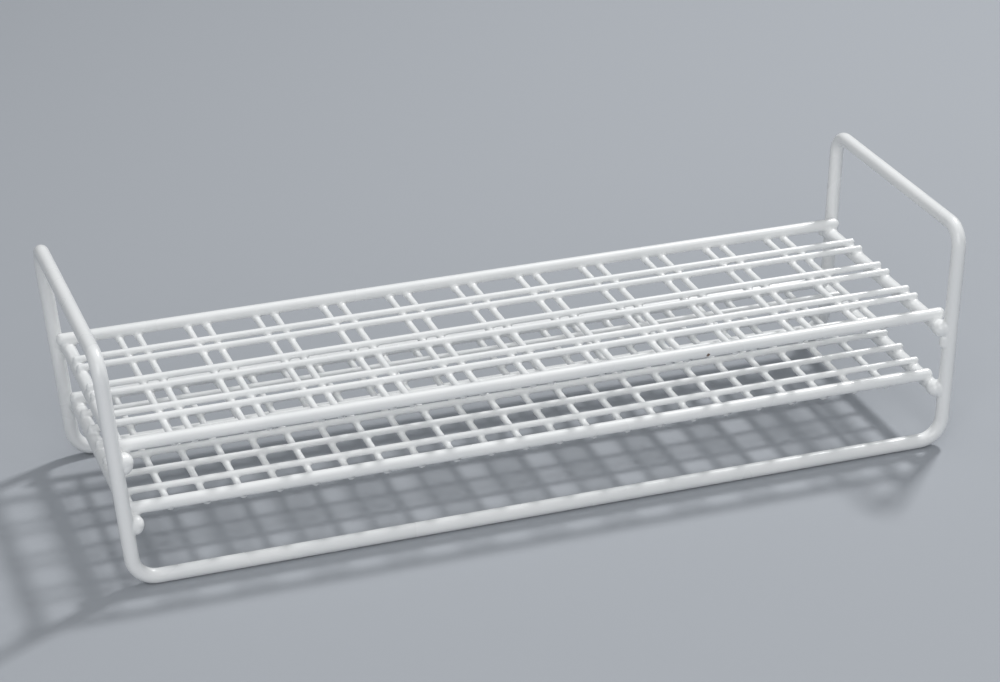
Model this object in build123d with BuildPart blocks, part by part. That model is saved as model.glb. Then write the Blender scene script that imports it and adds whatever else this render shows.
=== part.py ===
"""Microcentrifuge tube rack: two welded wire shelves carried by a bent wire frame.

Millimetres, +Z up.  The origin is on the bench, under the middle of the rack.
X runs along the twelve columns of holes, Y along the four rows, and -Y is the front.
"""

from build123d import *
import os

# Tube holes
COLUMNS = 12
ROWS = 4
COLUMN_PITCH = 20.0
ROW_PITCH = 18.3
PAIR_SPACING = 5.5

# Coated wire sizes
FRAME_DIAMETER = 4.1
BAR_DIAMETER = 4.0
RAIL_DIAMETER = 3.5
MESH_DIAMETER = 1.9

# Frame: one closed loop of wire, two base rails, four legs and two handles.  The feet stand
# a little to the right of the handles, so the left-hand legs lean outwards more than the
# right-hand ones.
FOOT_X = {"left": -116.8, "right": 120.2}
HANDLE_X = {"left": -122.4, "right": 122.4}
LEG_Y = 39.5
HANDLE_Z = 66.95
FOOT_BEND = 7.0
HANDLE_BEND = 5.8

# Shelves: each level is the height where its long wires cross its cross wires
UPPER_LEVEL = 38.6
LOWER_LEVEL = 19.8
RAIL_Y = 34.8
LOWER_LONG_WIRES = 6
LOWER_CROSS_WIRES = 22

# How far one wire sinks into the next at a weld, how far short of the rails' centrelines the
# cross wires end, and how far the long wires and rails run on past the end bars' centrelines.
# The rails' ends pass beside the legs, on the inner side.
MESH_WELD_DEPTH = 0.2
RAIL_WELD_DEPTH = 0.8
BAR_WELD_DEPTH = 1.4
CROSS_INSET = 0.3
LONG_OVERHANG = {"left": 1.4, "right": 1.4}
UPPER_RAIL_OVERHANG = {"left": 3.2, "right": 2.7}
LOWER_RAIL_OVERHANG = {"left": 2.4, "right": 0.6}
BAR_HALF_LENGTH = 40.4
END_ROUNDING = 0.85

frame_radius = FRAME_DIAMETER / 2
bar_radius = BAR_DIAMETER / 2
rail_radius = RAIL_DIAMETER / 2
mesh_radius = MESH_DIAMETER / 2
cross_half_length = RAIL_Y - CROSS_INSET


def leg_x(side, height):
    """Where the centreline of a side's leaning legs is at a height."""
    rise = (height - frame_radius) / (HANDLE_Z - frame_radius)
    return FOOT_X[side] + rise * (HANDLE_X[side] - FOOT_X[side])


def end_bar_x(side, level):
    """Where the centreline of a shelf's end bar is, against the inner side of the legs."""
    inwards = {"left": 1, "right": -1}[side]
    distance = frame_radius + bar_radius - BAR_WELD_DEPTH
    return leg_x(side, level - bar_radius) + inwards * distance


def wires_between(count, pitch):
    """Centres of the gaps between `count` holes at an even pitch, about zero."""
    return [(i - count / 2) * pitch for i in range(1, count)]


def spread(count, pitch):
    """Centres of `count` wires at an even pitch, about zero."""
    return [(i - (count - 1) / 2) * pitch for i in range(count)]


def pair_at(centre):
    """Centres of the two wires that stand together between neighbouring holes."""
    return [centre - PAIR_SPACING / 2, centre + PAIR_SPACING / 2]


def round_ends(wires, radius):
    """Round the cut ends of straight wires."""
    fillet(wires.edges().filter_by(GeomType.CIRCLE), END_ROUNDING * radius)


def cross_wires(centres, level):
    """Thin straight wires along Y that hang under a level, side by side at the given X."""
    with BuildPart() as wires:
        with BuildSketch(Plane.XZ):
            with Locations(*[(x, level - mesh_radius) for x in centres]):
                Circle(mesh_radius)
        extrude(amount=cross_half_length, both=True)
        round_ends(wires, mesh_radius)
    return wires


def long_wire(y, radius, weld_depth, level, overhang, crossings):
    """A straight wire along X, seated on a shelf's cross wires and end bars."""
    left_bar = end_bar_x("left", level)
    right_bar = end_bar_x("right", level)
    with BuildPart() as wire:
        with BuildSketch(Plane.YZ.offset(left_bar - overhang["left"])):
            with Locations((y, level + radius - weld_depth)):
                Circle(radius)
        extrude(amount=overhang["left"] + right_bar - left_bar + overhang["right"])
        round_ends(wire, radius)
        with BuildSketch(Plane.XZ):
            with Locations(*[(x, level - mesh_radius) for x in crossings]):
                Circle(mesh_radius)
            with Locations((left_bar, level - bar_radius), (right_bar, level - bar_radius)):
                Circle(bar_radius)
        extrude(amount=BAR_HALF_LENGTH, both=True, mode=Mode.SUBTRACT)
    return wire


def long_mesh_wire(y, level, crossings):
    """A thin long wire of a shelf's mesh."""
    return long_wire(y, mesh_radius, MESH_WELD_DEPTH, level, LONG_OVERHANG, crossings)


def shelf_rail(y, level, overhang, crossings):
    """A thick rail along the front or rear edge of a shelf."""
    return long_wire(y, rail_radius, RAIL_WELD_DEPTH, level, overhang, crossings)


def end_bar(side, level):
    """A thick straight bar along Y, seated against the inner sides of two legs."""
    with BuildPart() as bar:
        with BuildSketch(Plane.XZ):
            with Locations((end_bar_x(side, level), level - bar_radius)):
                Circle(bar_radius)
        extrude(amount=BAR_HALF_LENGTH, both=True)
        round_ends(bar, bar_radius)
        for y in (-LEG_Y, LEG_Y):
            foot = Vector(FOOT_X[side], y, frame_radius)
            leg = Vector(HANDLE_X[side], y, HANDLE_Z) - foot
            with BuildSketch(Plane(origin=foot, z_dir=leg)):
                Circle(frame_radius)
            extrude(amount=leg.length, mode=Mode.SUBTRACT)
    return bar


def write(piece, name):
    """Label a finished piece and write it out."""
    piece.part.label = name
    export_step(piece.part, f"parts/{name}.step")


os.makedirs("parts", exist_ok=True)

# The frame wire: each half of the loop is swept from the middle of the front base rail, over
# a handle, to the middle of the rear base rail
with BuildPart() as frame_wire:
    for side in ("left", "right"):
        with BuildLine() as half_loop:
            FilletPolyline(
                (0, -LEG_Y, frame_radius),
                (FOOT_X[side], -LEG_Y, frame_radius),
                (HANDLE_X[side], -LEG_Y, HANDLE_Z),
                (HANDLE_X[side], LEG_Y, HANDLE_Z),
                (FOOT_X[side], LEG_Y, frame_radius),
                (0, LEG_Y, frame_radius),
                radius=(FOOT_BEND, HANDLE_BEND, HANDLE_BEND, FOOT_BEND),
            )
        with BuildSketch(Plane(origin=(0, -LEG_Y, frame_radius), z_dir=(FOOT_X[side], 0, 0))):
            Circle(frame_radius)
        sweep(path=half_loop.wires()[0])
write(frame_wire, "frame_wire")

# Four end bars, a pair for each shelf
for shelf, level in (("upper", UPPER_LEVEL), ("lower", LOWER_LEVEL)):
    for side in ("left", "right"):
        write(end_bar(side, level), f"{shelf}_{side}_end_bar")

# Upper shelf: pairs of cross wires, with the long wires in pairs on top of them, leave a
# hole for each tube
pair_centres = wires_between(COLUMNS, COLUMN_PITCH)
for number, centre in enumerate(pair_centres, start=1):
    write(cross_wires(pair_at(centre), UPPER_LEVEL), f"upper_cross_pair_{number:02d}")

upper_crossings = [x for centre in pair_centres for x in pair_at(centre)]
upper_rows = [y for centre in wires_between(ROWS, ROW_PITCH) for y in pair_at(centre)]
for number, y in enumerate(upper_rows, start=1):
    wire = long_mesh_wire(y, UPPER_LEVEL, upper_crossings)
    write(wire, f"upper_long_wire_{number}")

# Lower shelf: an even grid of single wires that the tips of the tubes stand in
lower_crossings = spread(LOWER_CROSS_WIRES, COLUMN_PITCH / 2)
for number, x in enumerate(lower_crossings, start=1):
    write(cross_wires([x], LOWER_LEVEL), f"lower_cross_wire_{number:02d}")

lower_row_pitch = 2 * RAIL_Y / (LOWER_LONG_WIRES + 1)
for number, y in enumerate(spread(LOWER_LONG_WIRES, lower_row_pitch), start=1):
    wire = long_mesh_wire(y, LOWER_LEVEL, lower_crossings)
    write(wire, f"lower_long_wire_{number}")

# Rails: the thick wires along the front and rear edges of both shelves
for side_name, side in (("front", -1), ("rear", 1)):
    y = side * RAIL_Y
    rail = shelf_rail(y, UPPER_LEVEL, UPPER_RAIL_OVERHANG, upper_crossings)
    write(rail, f"upper_{side_name}_rail")
    rail = shelf_rail(y, LOWER_LEVEL, LOWER_RAIL_OVERHANG, lower_crossings)
    write(rail, f"lower_{side_name}_rail")
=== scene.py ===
"""Looks of the microcentrifuge tube rack: a welded wire rack dipped in white plastic.

Everything is in metres and +Z up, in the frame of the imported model.  The CAD nodes are the
wires.  The pieces made here are the coating's own shapes: its fillets at the welds, the
beads that it leaves on wire ends, the drops that set under two bars, and a run that set on
one leg.
"""

import bpy
import math
import numpy as np
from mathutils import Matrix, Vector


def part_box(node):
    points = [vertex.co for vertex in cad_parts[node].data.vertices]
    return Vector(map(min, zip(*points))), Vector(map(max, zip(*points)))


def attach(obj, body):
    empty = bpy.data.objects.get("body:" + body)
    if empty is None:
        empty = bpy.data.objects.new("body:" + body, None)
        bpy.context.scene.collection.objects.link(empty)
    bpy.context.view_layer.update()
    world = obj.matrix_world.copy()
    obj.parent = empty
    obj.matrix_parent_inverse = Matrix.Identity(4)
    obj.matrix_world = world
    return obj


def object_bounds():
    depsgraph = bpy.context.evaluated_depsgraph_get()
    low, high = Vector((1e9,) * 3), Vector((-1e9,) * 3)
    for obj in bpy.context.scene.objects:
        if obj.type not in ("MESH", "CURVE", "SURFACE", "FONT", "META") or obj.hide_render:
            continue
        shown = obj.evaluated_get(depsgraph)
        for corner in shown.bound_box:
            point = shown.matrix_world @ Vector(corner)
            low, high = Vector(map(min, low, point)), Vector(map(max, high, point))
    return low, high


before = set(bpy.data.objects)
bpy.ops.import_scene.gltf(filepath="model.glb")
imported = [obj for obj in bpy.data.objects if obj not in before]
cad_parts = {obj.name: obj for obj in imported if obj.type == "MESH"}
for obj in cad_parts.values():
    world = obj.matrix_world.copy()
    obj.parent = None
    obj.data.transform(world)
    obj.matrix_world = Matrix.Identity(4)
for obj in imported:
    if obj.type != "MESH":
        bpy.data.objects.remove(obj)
cad_low, cad_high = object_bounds()

MM = 0.001
SLOT = "white_coating"

# How many nodes of each kind the shelves have
UPPER_PAIRS = 11
LOWER_CROSS_WIRES = 22
LONG_WIRES = 6

# The frame's legs, which lean outwards
FOOT_X = {"left": -116.8 * MM, "right": 120.2 * MM}
HANDLE_X = {"left": -122.4 * MM, "right": 122.4 * MM}
LEG_Y = {"front": -39.5 * MM, "rear": 39.5 * MM}
HANDLE_Z = 66.95 * MM
LEG_RADIUS = 2.05 * MM

# How widely the coating blends one wire into the next, by the kind of weld, and the share
# by which that varies from one weld to another
MESH_BLEND = 1.25 * MM
RAIL_BLEND = 0.9 * MM
BAR_BLEND = 1.3 * MM
LEG_BLEND = 1.0 * MM
BLEND_SPREAD = 0.2

# The patches: how far they reach from a weld, how fast they sink into the bare wires past
# the fillets, and their mesh size
MESH_REACH = 2.6 * MM
RAIL_REACH = 3.0 * MM
BAR_REACH = 3.4 * MM
RAIL_END_REACH = 4.4 * MM
LEG_REACH = 4.8 * MM
SINKING = 1.2
FINE_CELL = 0.32 * MM
COARSE_CELL = 0.42 * MM

# How far the patches stand clear of the bare wires, so that the two never flicker
SKIN = 0.012 * MM

# How the points of a patch are brought onto its surface, and the least values divided by
NEWTON_STEPS = 4
SLOPE_STEP = 0.01 * MM
LEAST_SQUARED_SLOPE = 0.05
TINY = 1e-9
TINY_SQUARED = 1e-12

# Beads of coating on wire ends, in shares of the wire's radius
TIP_BEAD = 1.02
BAR_BEAD = 1.08

# Drops of coating that set under the left-hand bars' front ends: how far below the bar's
# centreline, how far in from its tip, and how large
DROPS = {
    "upper": {"below": 1.7 * MM, "inset": 1.6 * MM, "radius": 1.45 * MM},
    "lower": {"below": 0.9 * MM, "inset": 1.5 * MM, "radius": 1.45 * MM},
}
DROP_BLEND = 2.0 * MM

# The run of coating on the inner side of the right-hand front leg
RUN_LEG = ("right", "front")
RUN_TOP = 34.2 * MM
RUN_BOTTOM = 31.6 * MM
RUN_OFFSET = 2.05 * MM
RUN_RADIUS = 1.05 * MM
RUN_BLEND = 0.9 * MM

# A brown speck in the coating of the upper front rail, low on its front
SPECK_X = 47.9 * MM
SPECK_ANGLE = math.radians(-18)
SPECK_RADIUS = 0.7 * MM
SPECK_RAGGEDNESS = 0.3
SPECK_EDGE = (0.7, 1.1)

COATING_COLOUR = (0.90, 0.905, 0.90, 1)
COATING_SHADE = (0.86, 0.87, 0.868, 1)
SPECK_COLOUR = (0.16, 0.10, 0.065, 1)
FLOOR_COLOUR = (0.38, 0.40, 0.43, 1)
FLOOR_ROUGHNESS = 0.8
COATING_ROUGHNESS = (0.26, 0.34)
COATING_IOR = 1.5
CLEAR_COAT = 0.25
CLEAR_COAT_ROUGHNESS = 0.12

# Noise patterns, as their scale and their detail, and the parts of their range in use
TONE_NOISE = (60, 0)
GLOSS_NOISE = (80, 0)
THICKNESS_NOISE = (150, 1)
PEEL_NOISE = (900, 2)
SPECK_NOISE = (2600, 2)
PAPER_NOISE = (900, 3)
SMOOTH_RANGE = (0.2, 0.8)
SPECK_RANGE = (0.3, 0.7)

# Bumps
THICKNESS_BUMP = {"distance": 0.05 * MM, "strength": 0.15}
PEEL_BUMP = {"distance": 0.01 * MM, "strength": 0.1}
PAPER_BUMP = {"distance": 0.05 * MM, "strength": 0.2}

# The floor: half its width in metres, and its corners in that measure
FLOOR_HALF = 3.0
FLOOR_CORNERS = [(-1, -1), (1, -1), (1, 1), (-1, 1)]

# The lamps: where each stands in degrees and metres, its width in metres and its power in
# watts.  Azimuth 0 is the rear, and 90 the right.
LAMPS = {
    "key_light": {
        "azimuth": 56, "elevation": 53, "distance": 1.3, "size": 0.14, "power": 9.0,
    },
    "top_light": {
        "azimuth": 0, "elevation": 88, "distance": 1.2, "size": 1.0, "power": 2.4,
    },
    "front_light": {
        "azimuth": 200, "elevation": 35, "distance": 1.4, "size": 1.0, "power": 8.6,
    },
}
SURROUNDING_COLOUR = (0.88, 0.94, 1.0, 1)
SURROUNDING_STRENGTH = 0.23

# The camera, worked out from the rack's own straight wires
CAMERA_PLACE = (-0.23546, -0.68001, 0.37565)
CAMERA_TURN = (64.6706, 0.4820, -19.2881)
CAMERA_LENS = 101.038
SENSOR_WIDTH = 36.0
CLIP_START = 0.01

rng = np.random.default_rng(seed=7)


# ---- Wires, as the coating follows them

def capsule(start, end, radius):
    """A straight wire with round ends, from one end's tip to the other's."""
    start = np.array(start, float)
    end = np.array(end, float)
    inset = (end - start) / np.linalg.norm(end - start) * radius
    return start + inset, end - inset, radius


def ball(centre, radius):
    """A round bead."""
    centre = np.array(centre, float)
    return centre, centre, radius


def wire_along_x(node):
    """The wire of a CAD node that runs left to right."""
    low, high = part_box(node)
    y = (low.y + high.y) / 2
    z = (low.z + high.z) / 2
    return capsule((low.x, y, z), (high.x, y, z), (high.y - low.y) / 2)


def wires_along_y(node, count=1):
    """The wires of a CAD node that run front to rear: one, or two side by side."""
    low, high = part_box(node)
    radius = (high.z - low.z) / 2
    z = (low.z + high.z) / 2
    if count == 1:
        places = [(low.x + high.x) / 2]
    else:
        places = [low.x + radius, high.x - radius]
    return [capsule((x, low.y, z), (x, high.y, z), radius) for x in places]


def end_bar(shelf, side):
    """The end bar at one side of a shelf."""
    return wires_along_y(f"{shelf}_{side}_end_bar")[0]


def rail_of(shelf, end):
    """The rail along the front or rear edge of a shelf."""
    return wire_along_x(f"{shelf}_{end}_rail")


def leg_x(side, height):
    """Where the centreline of a side's leaning legs is at a height."""
    rise = (height - LEG_RADIUS) / (HANDLE_Z - LEG_RADIUS)
    return FOOT_X[side] + rise * (HANDLE_X[side] - FOOT_X[side])


def leg(side, end):
    """One of the frame's four leaning legs."""
    foot = np.array((FOOT_X[side], LEG_Y[end], LEG_RADIUS))
    top = np.array((HANDLE_X[side], LEG_Y[end], HANDLE_Z))
    return foot, top, LEG_RADIUS


def distance_to(points, wire):
    """How far points are outside a wire."""
    start, end, radius = wire
    axis = end - start
    share = np.clip((points - start) @ axis / max(axis @ axis, TINY_SQUARED), 0, 1)
    return np.linalg.norm(points - start - share[..., None] * axis, axis=-1) - radius


def smooth_union(distances, blend):
    """Distance to wires that the coating blends into each other, from their distances."""
    result = distances[0]
    for other in distances[1:]:
        overlap = np.maximum(blend - np.abs(result - other), 0) / blend
        result = np.minimum(result, other) - overlap**2 * blend / 4
    return result


def past_fillets(distances, blend):
    """How far points are beyond the fillets, where one wire alone is near."""
    nearest, second = np.sort(distances, axis=0)[:2]
    return np.maximum(second - nearest - blend, 0)


# ---- Patches of coating

def surface(field, low, high, cell):
    """The surface where a field is zero inside a box, as points and four-sided faces."""
    counts = np.ceil((high - low) / cell).astype(int) + 1
    ticks = [low[i] + cell * np.arange(counts[i]) for i in range(3)]
    inside = field(np.stack(np.meshgrid(*ticks, indexing="ij"), -1)) < 0
    corners = np.zeros(counts - 1, int)
    for i in (0, 1):
        for j in (0, 1):
            for k in (0, 1):
                corners += inside[i:counts[0] - 1 + i, j:counts[1] - 1 + j, k:counts[2] - 1 + k]
    crossed = np.argwhere((corners > 0) & (corners < 8))
    number = np.full(counts - 1, -1)
    number[tuple(crossed.T)] = np.arange(len(crossed))
    faces = []
    for axis in range(3):
        step_a = np.eye(3, dtype=int)[(axis + 1) % 3]
        step_b = np.eye(3, dtype=int)[(axis + 2) % 3]
        first = inside.take(range(counts[axis] - 1), axis)
        second = inside.take(range(1, counts[axis]), axis)
        edges = np.argwhere(first != second)
        ring = [edges, edges - step_a, edges - step_a - step_b, edges - step_b]
        quads = np.stack([number[tuple(cells.T)] for cells in ring], -1)
        turned = ~first[tuple(edges.T)]
        quads[turned] = quads[turned][:, ::-1]
        faces.append(quads)
    points = low + (crossed + 0.5) * cell
    return points, np.concatenate(faces)


def slope(field, points):
    """The direction in which a field grows, at each point."""
    shifts = np.eye(3) * SLOPE_STEP
    rise = [field(points + shift) - field(points - shift) for shift in shifts]
    return np.stack(rise, -1) / (2 * SLOPE_STEP)


def patch(centre, wires, blend, reach, cell):
    """The coating around one weld, sinking into the wires past its fillets."""
    centre = np.array(centre, float)
    blend = blend * (1 + BLEND_SPREAD * rng.uniform(-1, 1))

    def coating(points):
        distances = np.stack([distance_to(points, wire) for wire in wires])
        return smooth_union(distances, blend) - SKIN

    def limited(points):
        distances = np.stack([distance_to(points, wire) for wire in wires])
        beyond = np.maximum(np.linalg.norm(points - centre, axis=-1) - reach, 0)
        sunk = beyond + past_fillets(distances, blend)
        return smooth_union(distances, blend) - SKIN + SINKING * sunk

    thickest = max(wire[2] for wire in wires)
    margin = reach + thickest + 2 * cell
    points, faces = surface(limited, centre - margin, centre + margin, cell)
    for _ in range(NEWTON_STEPS):
        direction = slope(limited, points)
        steepness = np.maximum((direction**2).sum(-1), LEAST_SQUARED_SLOPE)
        points = points - direction * (limited(points) / steepness)[:, None]
    points = np.clip(points, cad_low, cad_high)
    normals = slope(coating, points)
    normals /= np.maximum(np.linalg.norm(normals, axis=-1), TINY)[:, None]
    return points, faces, normals


def joined_piece(name, patches):
    """One piece of the object, made of many patches of coating."""
    points = np.concatenate([p for p, _, _ in patches])
    normals = np.concatenate([n for _, _, n in patches])
    starts = np.cumsum([0] + [len(p) for p, _, _ in patches[:-1]])
    faces = np.concatenate([f + start for (_, f, _), start in zip(patches, starts)])
    mesh = bpy.data.meshes.new(name)
    mesh.from_pydata(points.tolist(), [], faces.tolist())
    mesh.shade_smooth()
    mesh.normals_split_custom_set_from_vertices(normals.tolist())
    piece = bpy.data.objects.new(name, mesh)
    bpy.context.scene.collection.objects.link(piece)
    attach(piece, "root")
    return piece


def crossing(lower, upper):
    """The point inside both wires, where one rests on the other."""
    x = lower[0][0]
    y = upper[0][1]
    top_of_lower = lower[0][2] + lower[2]
    foot_of_upper = upper[0][2] - upper[2]
    return x, y, (top_of_lower + foot_of_upper) / 2


# ---- The rack's wires, by what they do

cross_wires = {
    "upper": [
        wire
        for number in range(1, UPPER_PAIRS + 1)
        for wire in wires_along_y(f"upper_cross_pair_{number:02d}", 2)
    ],
    "lower": [
        wire
        for number in range(1, LOWER_CROSS_WIRES + 1)
        for wire in wires_along_y(f"lower_cross_wire_{number:02d}")
    ],
}
long_wires = {
    shelf: [wire_along_x(f"{shelf}_long_wire_{number}") for number in range(1, LONG_WIRES + 1)]
    for shelf in ("upper", "lower")
}


def bead_at_tip(wire, which, share):
    """A bead of coating on a wire's first or last tip."""
    return ball(wire[which], wire[2] * share)


def mesh_welds(shelf):
    """The patches where a shelf's thin wires cross."""
    return [
        patch(crossing(low, top), [low, top], MESH_BLEND, MESH_REACH, FINE_CELL)
        for low in cross_wires[shelf]
        for top in long_wires[shelf]
    ]


def rail_welds():
    """The patches where the thin cross wires end under the rails."""
    patches = []
    for shelf in ("upper", "lower"):
        for which, end in enumerate(("front", "rear")):
            rail = rail_of(shelf, end)
            for wire in cross_wires[shelf]:
                wires = [rail, wire, bead_at_tip(wire, which, TIP_BEAD)]
                place = crossing(wire, rail)
                patches.append(patch(place, wires, RAIL_BLEND, RAIL_REACH, COARSE_CELL))
    return patches


def end_welds():
    """The patches where long wires and rails rest on the end bars."""
    patches = []
    for shelf in ("upper", "lower"):
        for side in ("left", "right"):
            bar = end_bar(shelf, side)
            for wire in long_wires[shelf]:
                place = crossing(bar, wire)
                patches.append(patch(place, [bar, wire], BAR_BLEND, BAR_REACH, COARSE_CELL))
            for end in ("front", "rear"):
                rail = rail_of(shelf, end)
                place = crossing(bar, rail)
                wires = [bar, rail, leg(side, end)]
                patches.append(patch(place, wires, BAR_BLEND, RAIL_END_REACH, COARSE_CELL))
    return patches


def leg_welds():
    """The patches where the end bars are welded to the legs, with a bead on each bar's end."""
    patches = []
    for shelf in ("upper", "lower"):
        for side in ("left", "right"):
            bar = end_bar(shelf, side)
            for which, end in enumerate(("front", "rear")):
                post = leg(side, end)
                rail = rail_of(shelf, end)
                height = bar[0][2]
                place = ((bar[0][0] + leg_x(side, height)) / 2, LEG_Y[end], height)
                wires = [bar, post, bead_at_tip(bar, which, BAR_BEAD), rail]
                patches.append(patch(place, wires, LEG_BLEND, LEG_REACH, COARSE_CELL))
    return patches


def coating_drops():
    """The drops of coating that set under the front ends of the left-hand bars."""
    patches = []
    for shelf, drop in DROPS.items():
        bar = end_bar(shelf, "left")
        x, y, z = bar[0]
        tip = y - bar[2]
        place = (x, tip + drop["inset"], z - drop["below"])
        wires = [bar, ball(place, drop["radius"])]
        patches.append(patch(place, wires, DROP_BLEND, BAR_REACH, COARSE_CELL))
    return patches


def coating_run():
    """The run of coating that set under a weld, on the inner side of a leg."""
    side, end = RUN_LEG
    post = leg(side, end)
    middle = (RUN_TOP + RUN_BOTTOM) / 2
    post_x = leg_x(side, middle)
    x = post_x - RUN_OFFSET
    drop = capsule(
        (x, LEG_Y[end], RUN_BOTTOM - RUN_RADIUS / 2),
        (x, LEG_Y[end], RUN_TOP + RUN_RADIUS / 2),
        RUN_RADIUS,
    )
    place = (post_x - RUN_OFFSET / 2, LEG_Y[end], middle)
    return [patch(place, [post, drop], RUN_BLEND, LEG_REACH, COARSE_CELL)]


coating_pieces = [
    joined_piece("coating_on_upper_mesh_welds", mesh_welds("upper")),
    joined_piece("coating_on_lower_mesh_welds", mesh_welds("lower")),
    joined_piece("coating_on_rail_welds", rail_welds()),
    joined_piece("coating_on_end_bar_welds", end_welds()),
    joined_piece("coating_on_leg_welds", leg_welds()),
    joined_piece("coating_run_on_leg", coating_run()),
    joined_piece("coating_drops_on_left_bars", coating_drops()),
]


# ---- Materials

def new_material(name):
    """A new node material, with its node tree and its shader."""
    material = bpy.data.materials.new(name)
    material.use_nodes = True
    tree = material.node_tree
    return material, tree, tree.nodes["Principled BSDF"]


def noise(tree, place, scale, detail):
    """A noise pattern over the object's own coordinates."""
    node = tree.nodes.new("ShaderNodeTexNoise")
    node.inputs["Scale"].default_value = scale
    node.inputs["Detail"].default_value = detail
    tree.links.new(place, node.inputs["Vector"])
    return node.outputs["Fac"]


def remap(tree, value, from_low, from_high, to_low, to_high):
    """A value moved smoothly from one range to another."""
    node = tree.nodes.new("ShaderNodeMapRange")
    node.interpolation_type = "SMOOTHSTEP"
    node.inputs["From Min"].default_value = from_low
    node.inputs["From Max"].default_value = from_high
    node.inputs["To Min"].default_value = to_low
    node.inputs["To Max"].default_value = to_high
    tree.links.new(value, node.inputs["Value"])
    return node.outputs["Result"]


def mixed(tree, share, first, second):
    """Two colours mixed by a share.  Either is a colour or a socket."""
    node = tree.nodes.new("ShaderNodeMix")
    node.data_type = "RGBA"
    tree.links.new(share, node.inputs["Factor"])
    for value, socket in ((first, node.inputs["A"]), (second, node.inputs["B"])):
        if isinstance(value, tuple):
            socket.default_value = value
        else:
            tree.links.new(value, socket)
    return node.outputs["Result"]


def bump(tree, height, distance, strength, below=None):
    """A bump from a height, over another bump if one is given."""
    node = tree.nodes.new("ShaderNodeBump")
    node.inputs["Strength"].default_value = strength
    node.inputs["Distance"].default_value = distance
    tree.links.new(height, node.inputs["Height"])
    if below is not None:
        tree.links.new(below, node.inputs["Normal"])
    return node.outputs["Normal"]


def speck_mask(tree, place):
    """One inside the speck and nought outside it, with a ragged edge."""
    rail = rail_of("upper", "front")
    y = rail[0][1] - rail[2] * math.cos(SPECK_ANGLE)
    z = rail[0][2] + rail[2] * math.sin(SPECK_ANGLE)
    apart = tree.nodes.new("ShaderNodeVectorMath")
    apart.operation = "DISTANCE"
    apart.inputs[1].default_value = (SPECK_X, y, z)
    tree.links.new(place, apart.inputs[0])
    pattern = noise(tree, place, *SPECK_NOISE)
    ragged = remap(tree, pattern, *SPECK_RANGE, 0, SPECK_RAGGEDNESS * SPECK_RADIUS)
    total = tree.nodes.new("ShaderNodeMath")
    total.operation = "ADD"
    tree.links.new(apart.outputs["Value"], total.inputs[0])
    tree.links.new(ragged, total.inputs[1])
    start, end = SPECK_EDGE
    return remap(tree, total.outputs[0], start * SPECK_RADIUS, end * SPECK_RADIUS, 1, 0)


def coating_material():
    """White dipped plastic: satin, a little uneven in tone, gloss and thickness."""
    material, tree, shader = new_material(SLOT)
    place = tree.nodes.new("ShaderNodeTexCoord").outputs["Object"]
    tone = remap(tree, noise(tree, place, *TONE_NOISE), *SMOOTH_RANGE, 0, 1)
    white = mixed(tree, tone, COATING_COLOUR, COATING_SHADE)
    colour = mixed(tree, speck_mask(tree, place), white, SPECK_COLOUR)
    tree.links.new(colour, shader.inputs["Base Color"])
    gloss = remap(tree, noise(tree, place, *GLOSS_NOISE), *SMOOTH_RANGE, *COATING_ROUGHNESS)
    tree.links.new(gloss, shader.inputs["Roughness"])
    thick = bump(tree, noise(tree, place, *THICKNESS_NOISE), **THICKNESS_BUMP)
    peel = bump(tree, noise(tree, place, *PEEL_NOISE), **PEEL_BUMP, below=thick)
    tree.links.new(peel, shader.inputs["Normal"])
    shader.inputs["IOR"].default_value = COATING_IOR
    shader.inputs["Coat Weight"].default_value = CLEAR_COAT
    shader.inputs["Coat Roughness"].default_value = CLEAR_COAT_ROUGHNESS
    return material


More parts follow.
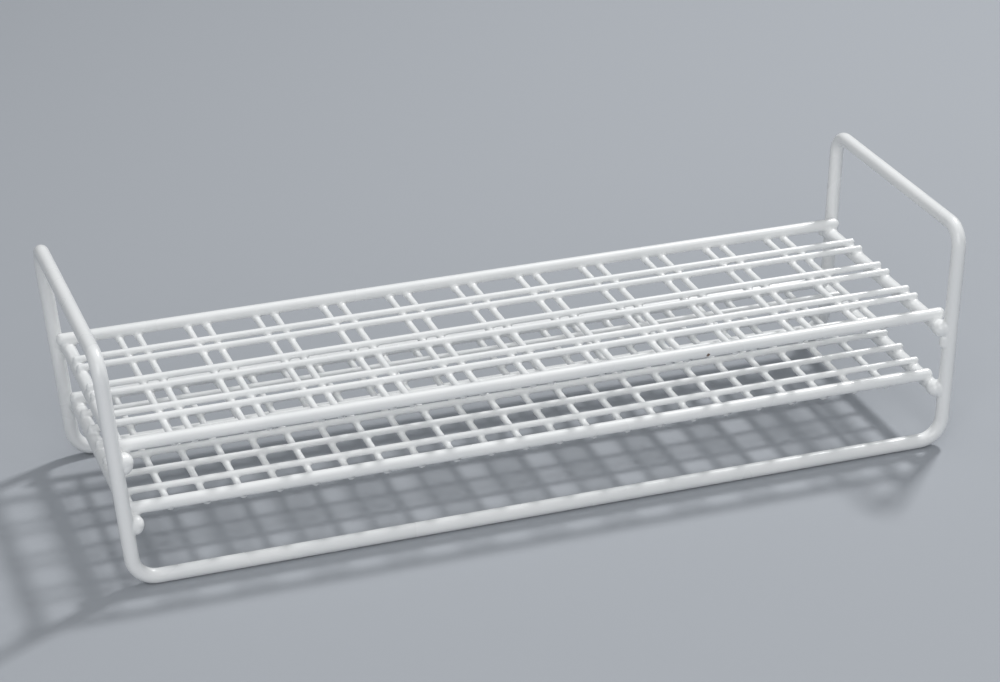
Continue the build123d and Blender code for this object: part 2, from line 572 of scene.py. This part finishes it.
def floor_material():
    """Plain grey paper with a fine grain."""
    material, tree, shader = new_material("floor_paper")
    place = tree.nodes.new("ShaderNodeTexCoord").outputs["Object"]
    grain = bump(tree, noise(tree, place, *PAPER_NOISE), **PAPER_BUMP)
    tree.links.new(grain, shader.inputs["Normal"])
    shader.inputs["Base Color"].default_value = FLOOR_COLOUR
    shader.inputs["Roughness"].default_value = FLOOR_ROUGHNESS
    return material


coating = coating_material()
for node in list(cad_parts.values()) + coating_pieces:
    node.data.materials.clear()
    node.data.materials.append(coating)


# ---- Floor, lights and camera

def floor():
    """A plain floor under the rack."""
    mesh = bpy.data.meshes.new("floor")
    corners = [(x * FLOOR_HALF, y * FLOOR_HALF, 0) for x, y in FLOOR_CORNERS]
    mesh.from_pydata(corners, [], [(0, 1, 2, 3)])
    piece = bpy.data.objects.new("floor", mesh)
    mesh.materials.append(floor_material())
    bpy.context.scene.collection.objects.link(piece)


def softbox(name, azimuth, elevation, distance, size, power):
    """A square lamp that faces the rack."""
    light = bpy.data.lights.new(name, "AREA")
    light.size = size
    light.energy = power
    lamp = bpy.data.objects.new(name, light)
    turn = math.radians(azimuth)
    tilt = math.radians(elevation)
    lamp.location = (
        distance * math.sin(turn) * math.cos(tilt),
        distance * math.cos(turn) * math.cos(tilt),
        distance * math.sin(tilt),
    )
    lamp.rotation_euler = (math.pi / 2 - tilt, 0, math.pi - turn)
    bpy.context.scene.collection.objects.link(lamp)


def world_light():
    """An even pale surrounding."""
    world = bpy.data.worlds.new("studio")
    world.use_nodes = True
    background = world.node_tree.nodes["Background"]
    background.inputs["Color"].default_value = SURROUNDING_COLOUR
    background.inputs["Strength"].default_value = SURROUNDING_STRENGTH
    bpy.context.scene.world = world


def camera():
    """The camera at the photograph's viewing angle."""
    lens = bpy.data.cameras.new("camera")
    lens.lens = CAMERA_LENS
    lens.sensor_width = SENSOR_WIDTH
    lens.clip_start = CLIP_START
    holder = bpy.data.objects.new("camera", lens)
    holder.location = CAMERA_PLACE
    holder.rotation_euler = [math.radians(turn) for turn in CAMERA_TURN]
    bpy.context.scene.collection.objects.link(holder)
    bpy.context.scene.camera = holder


floor()
for name, lamp in LAMPS.items():
    softbox(name, **lamp)
world_light()
camera()
bpy.context.scene.view_settings.view_transform = "Standard"
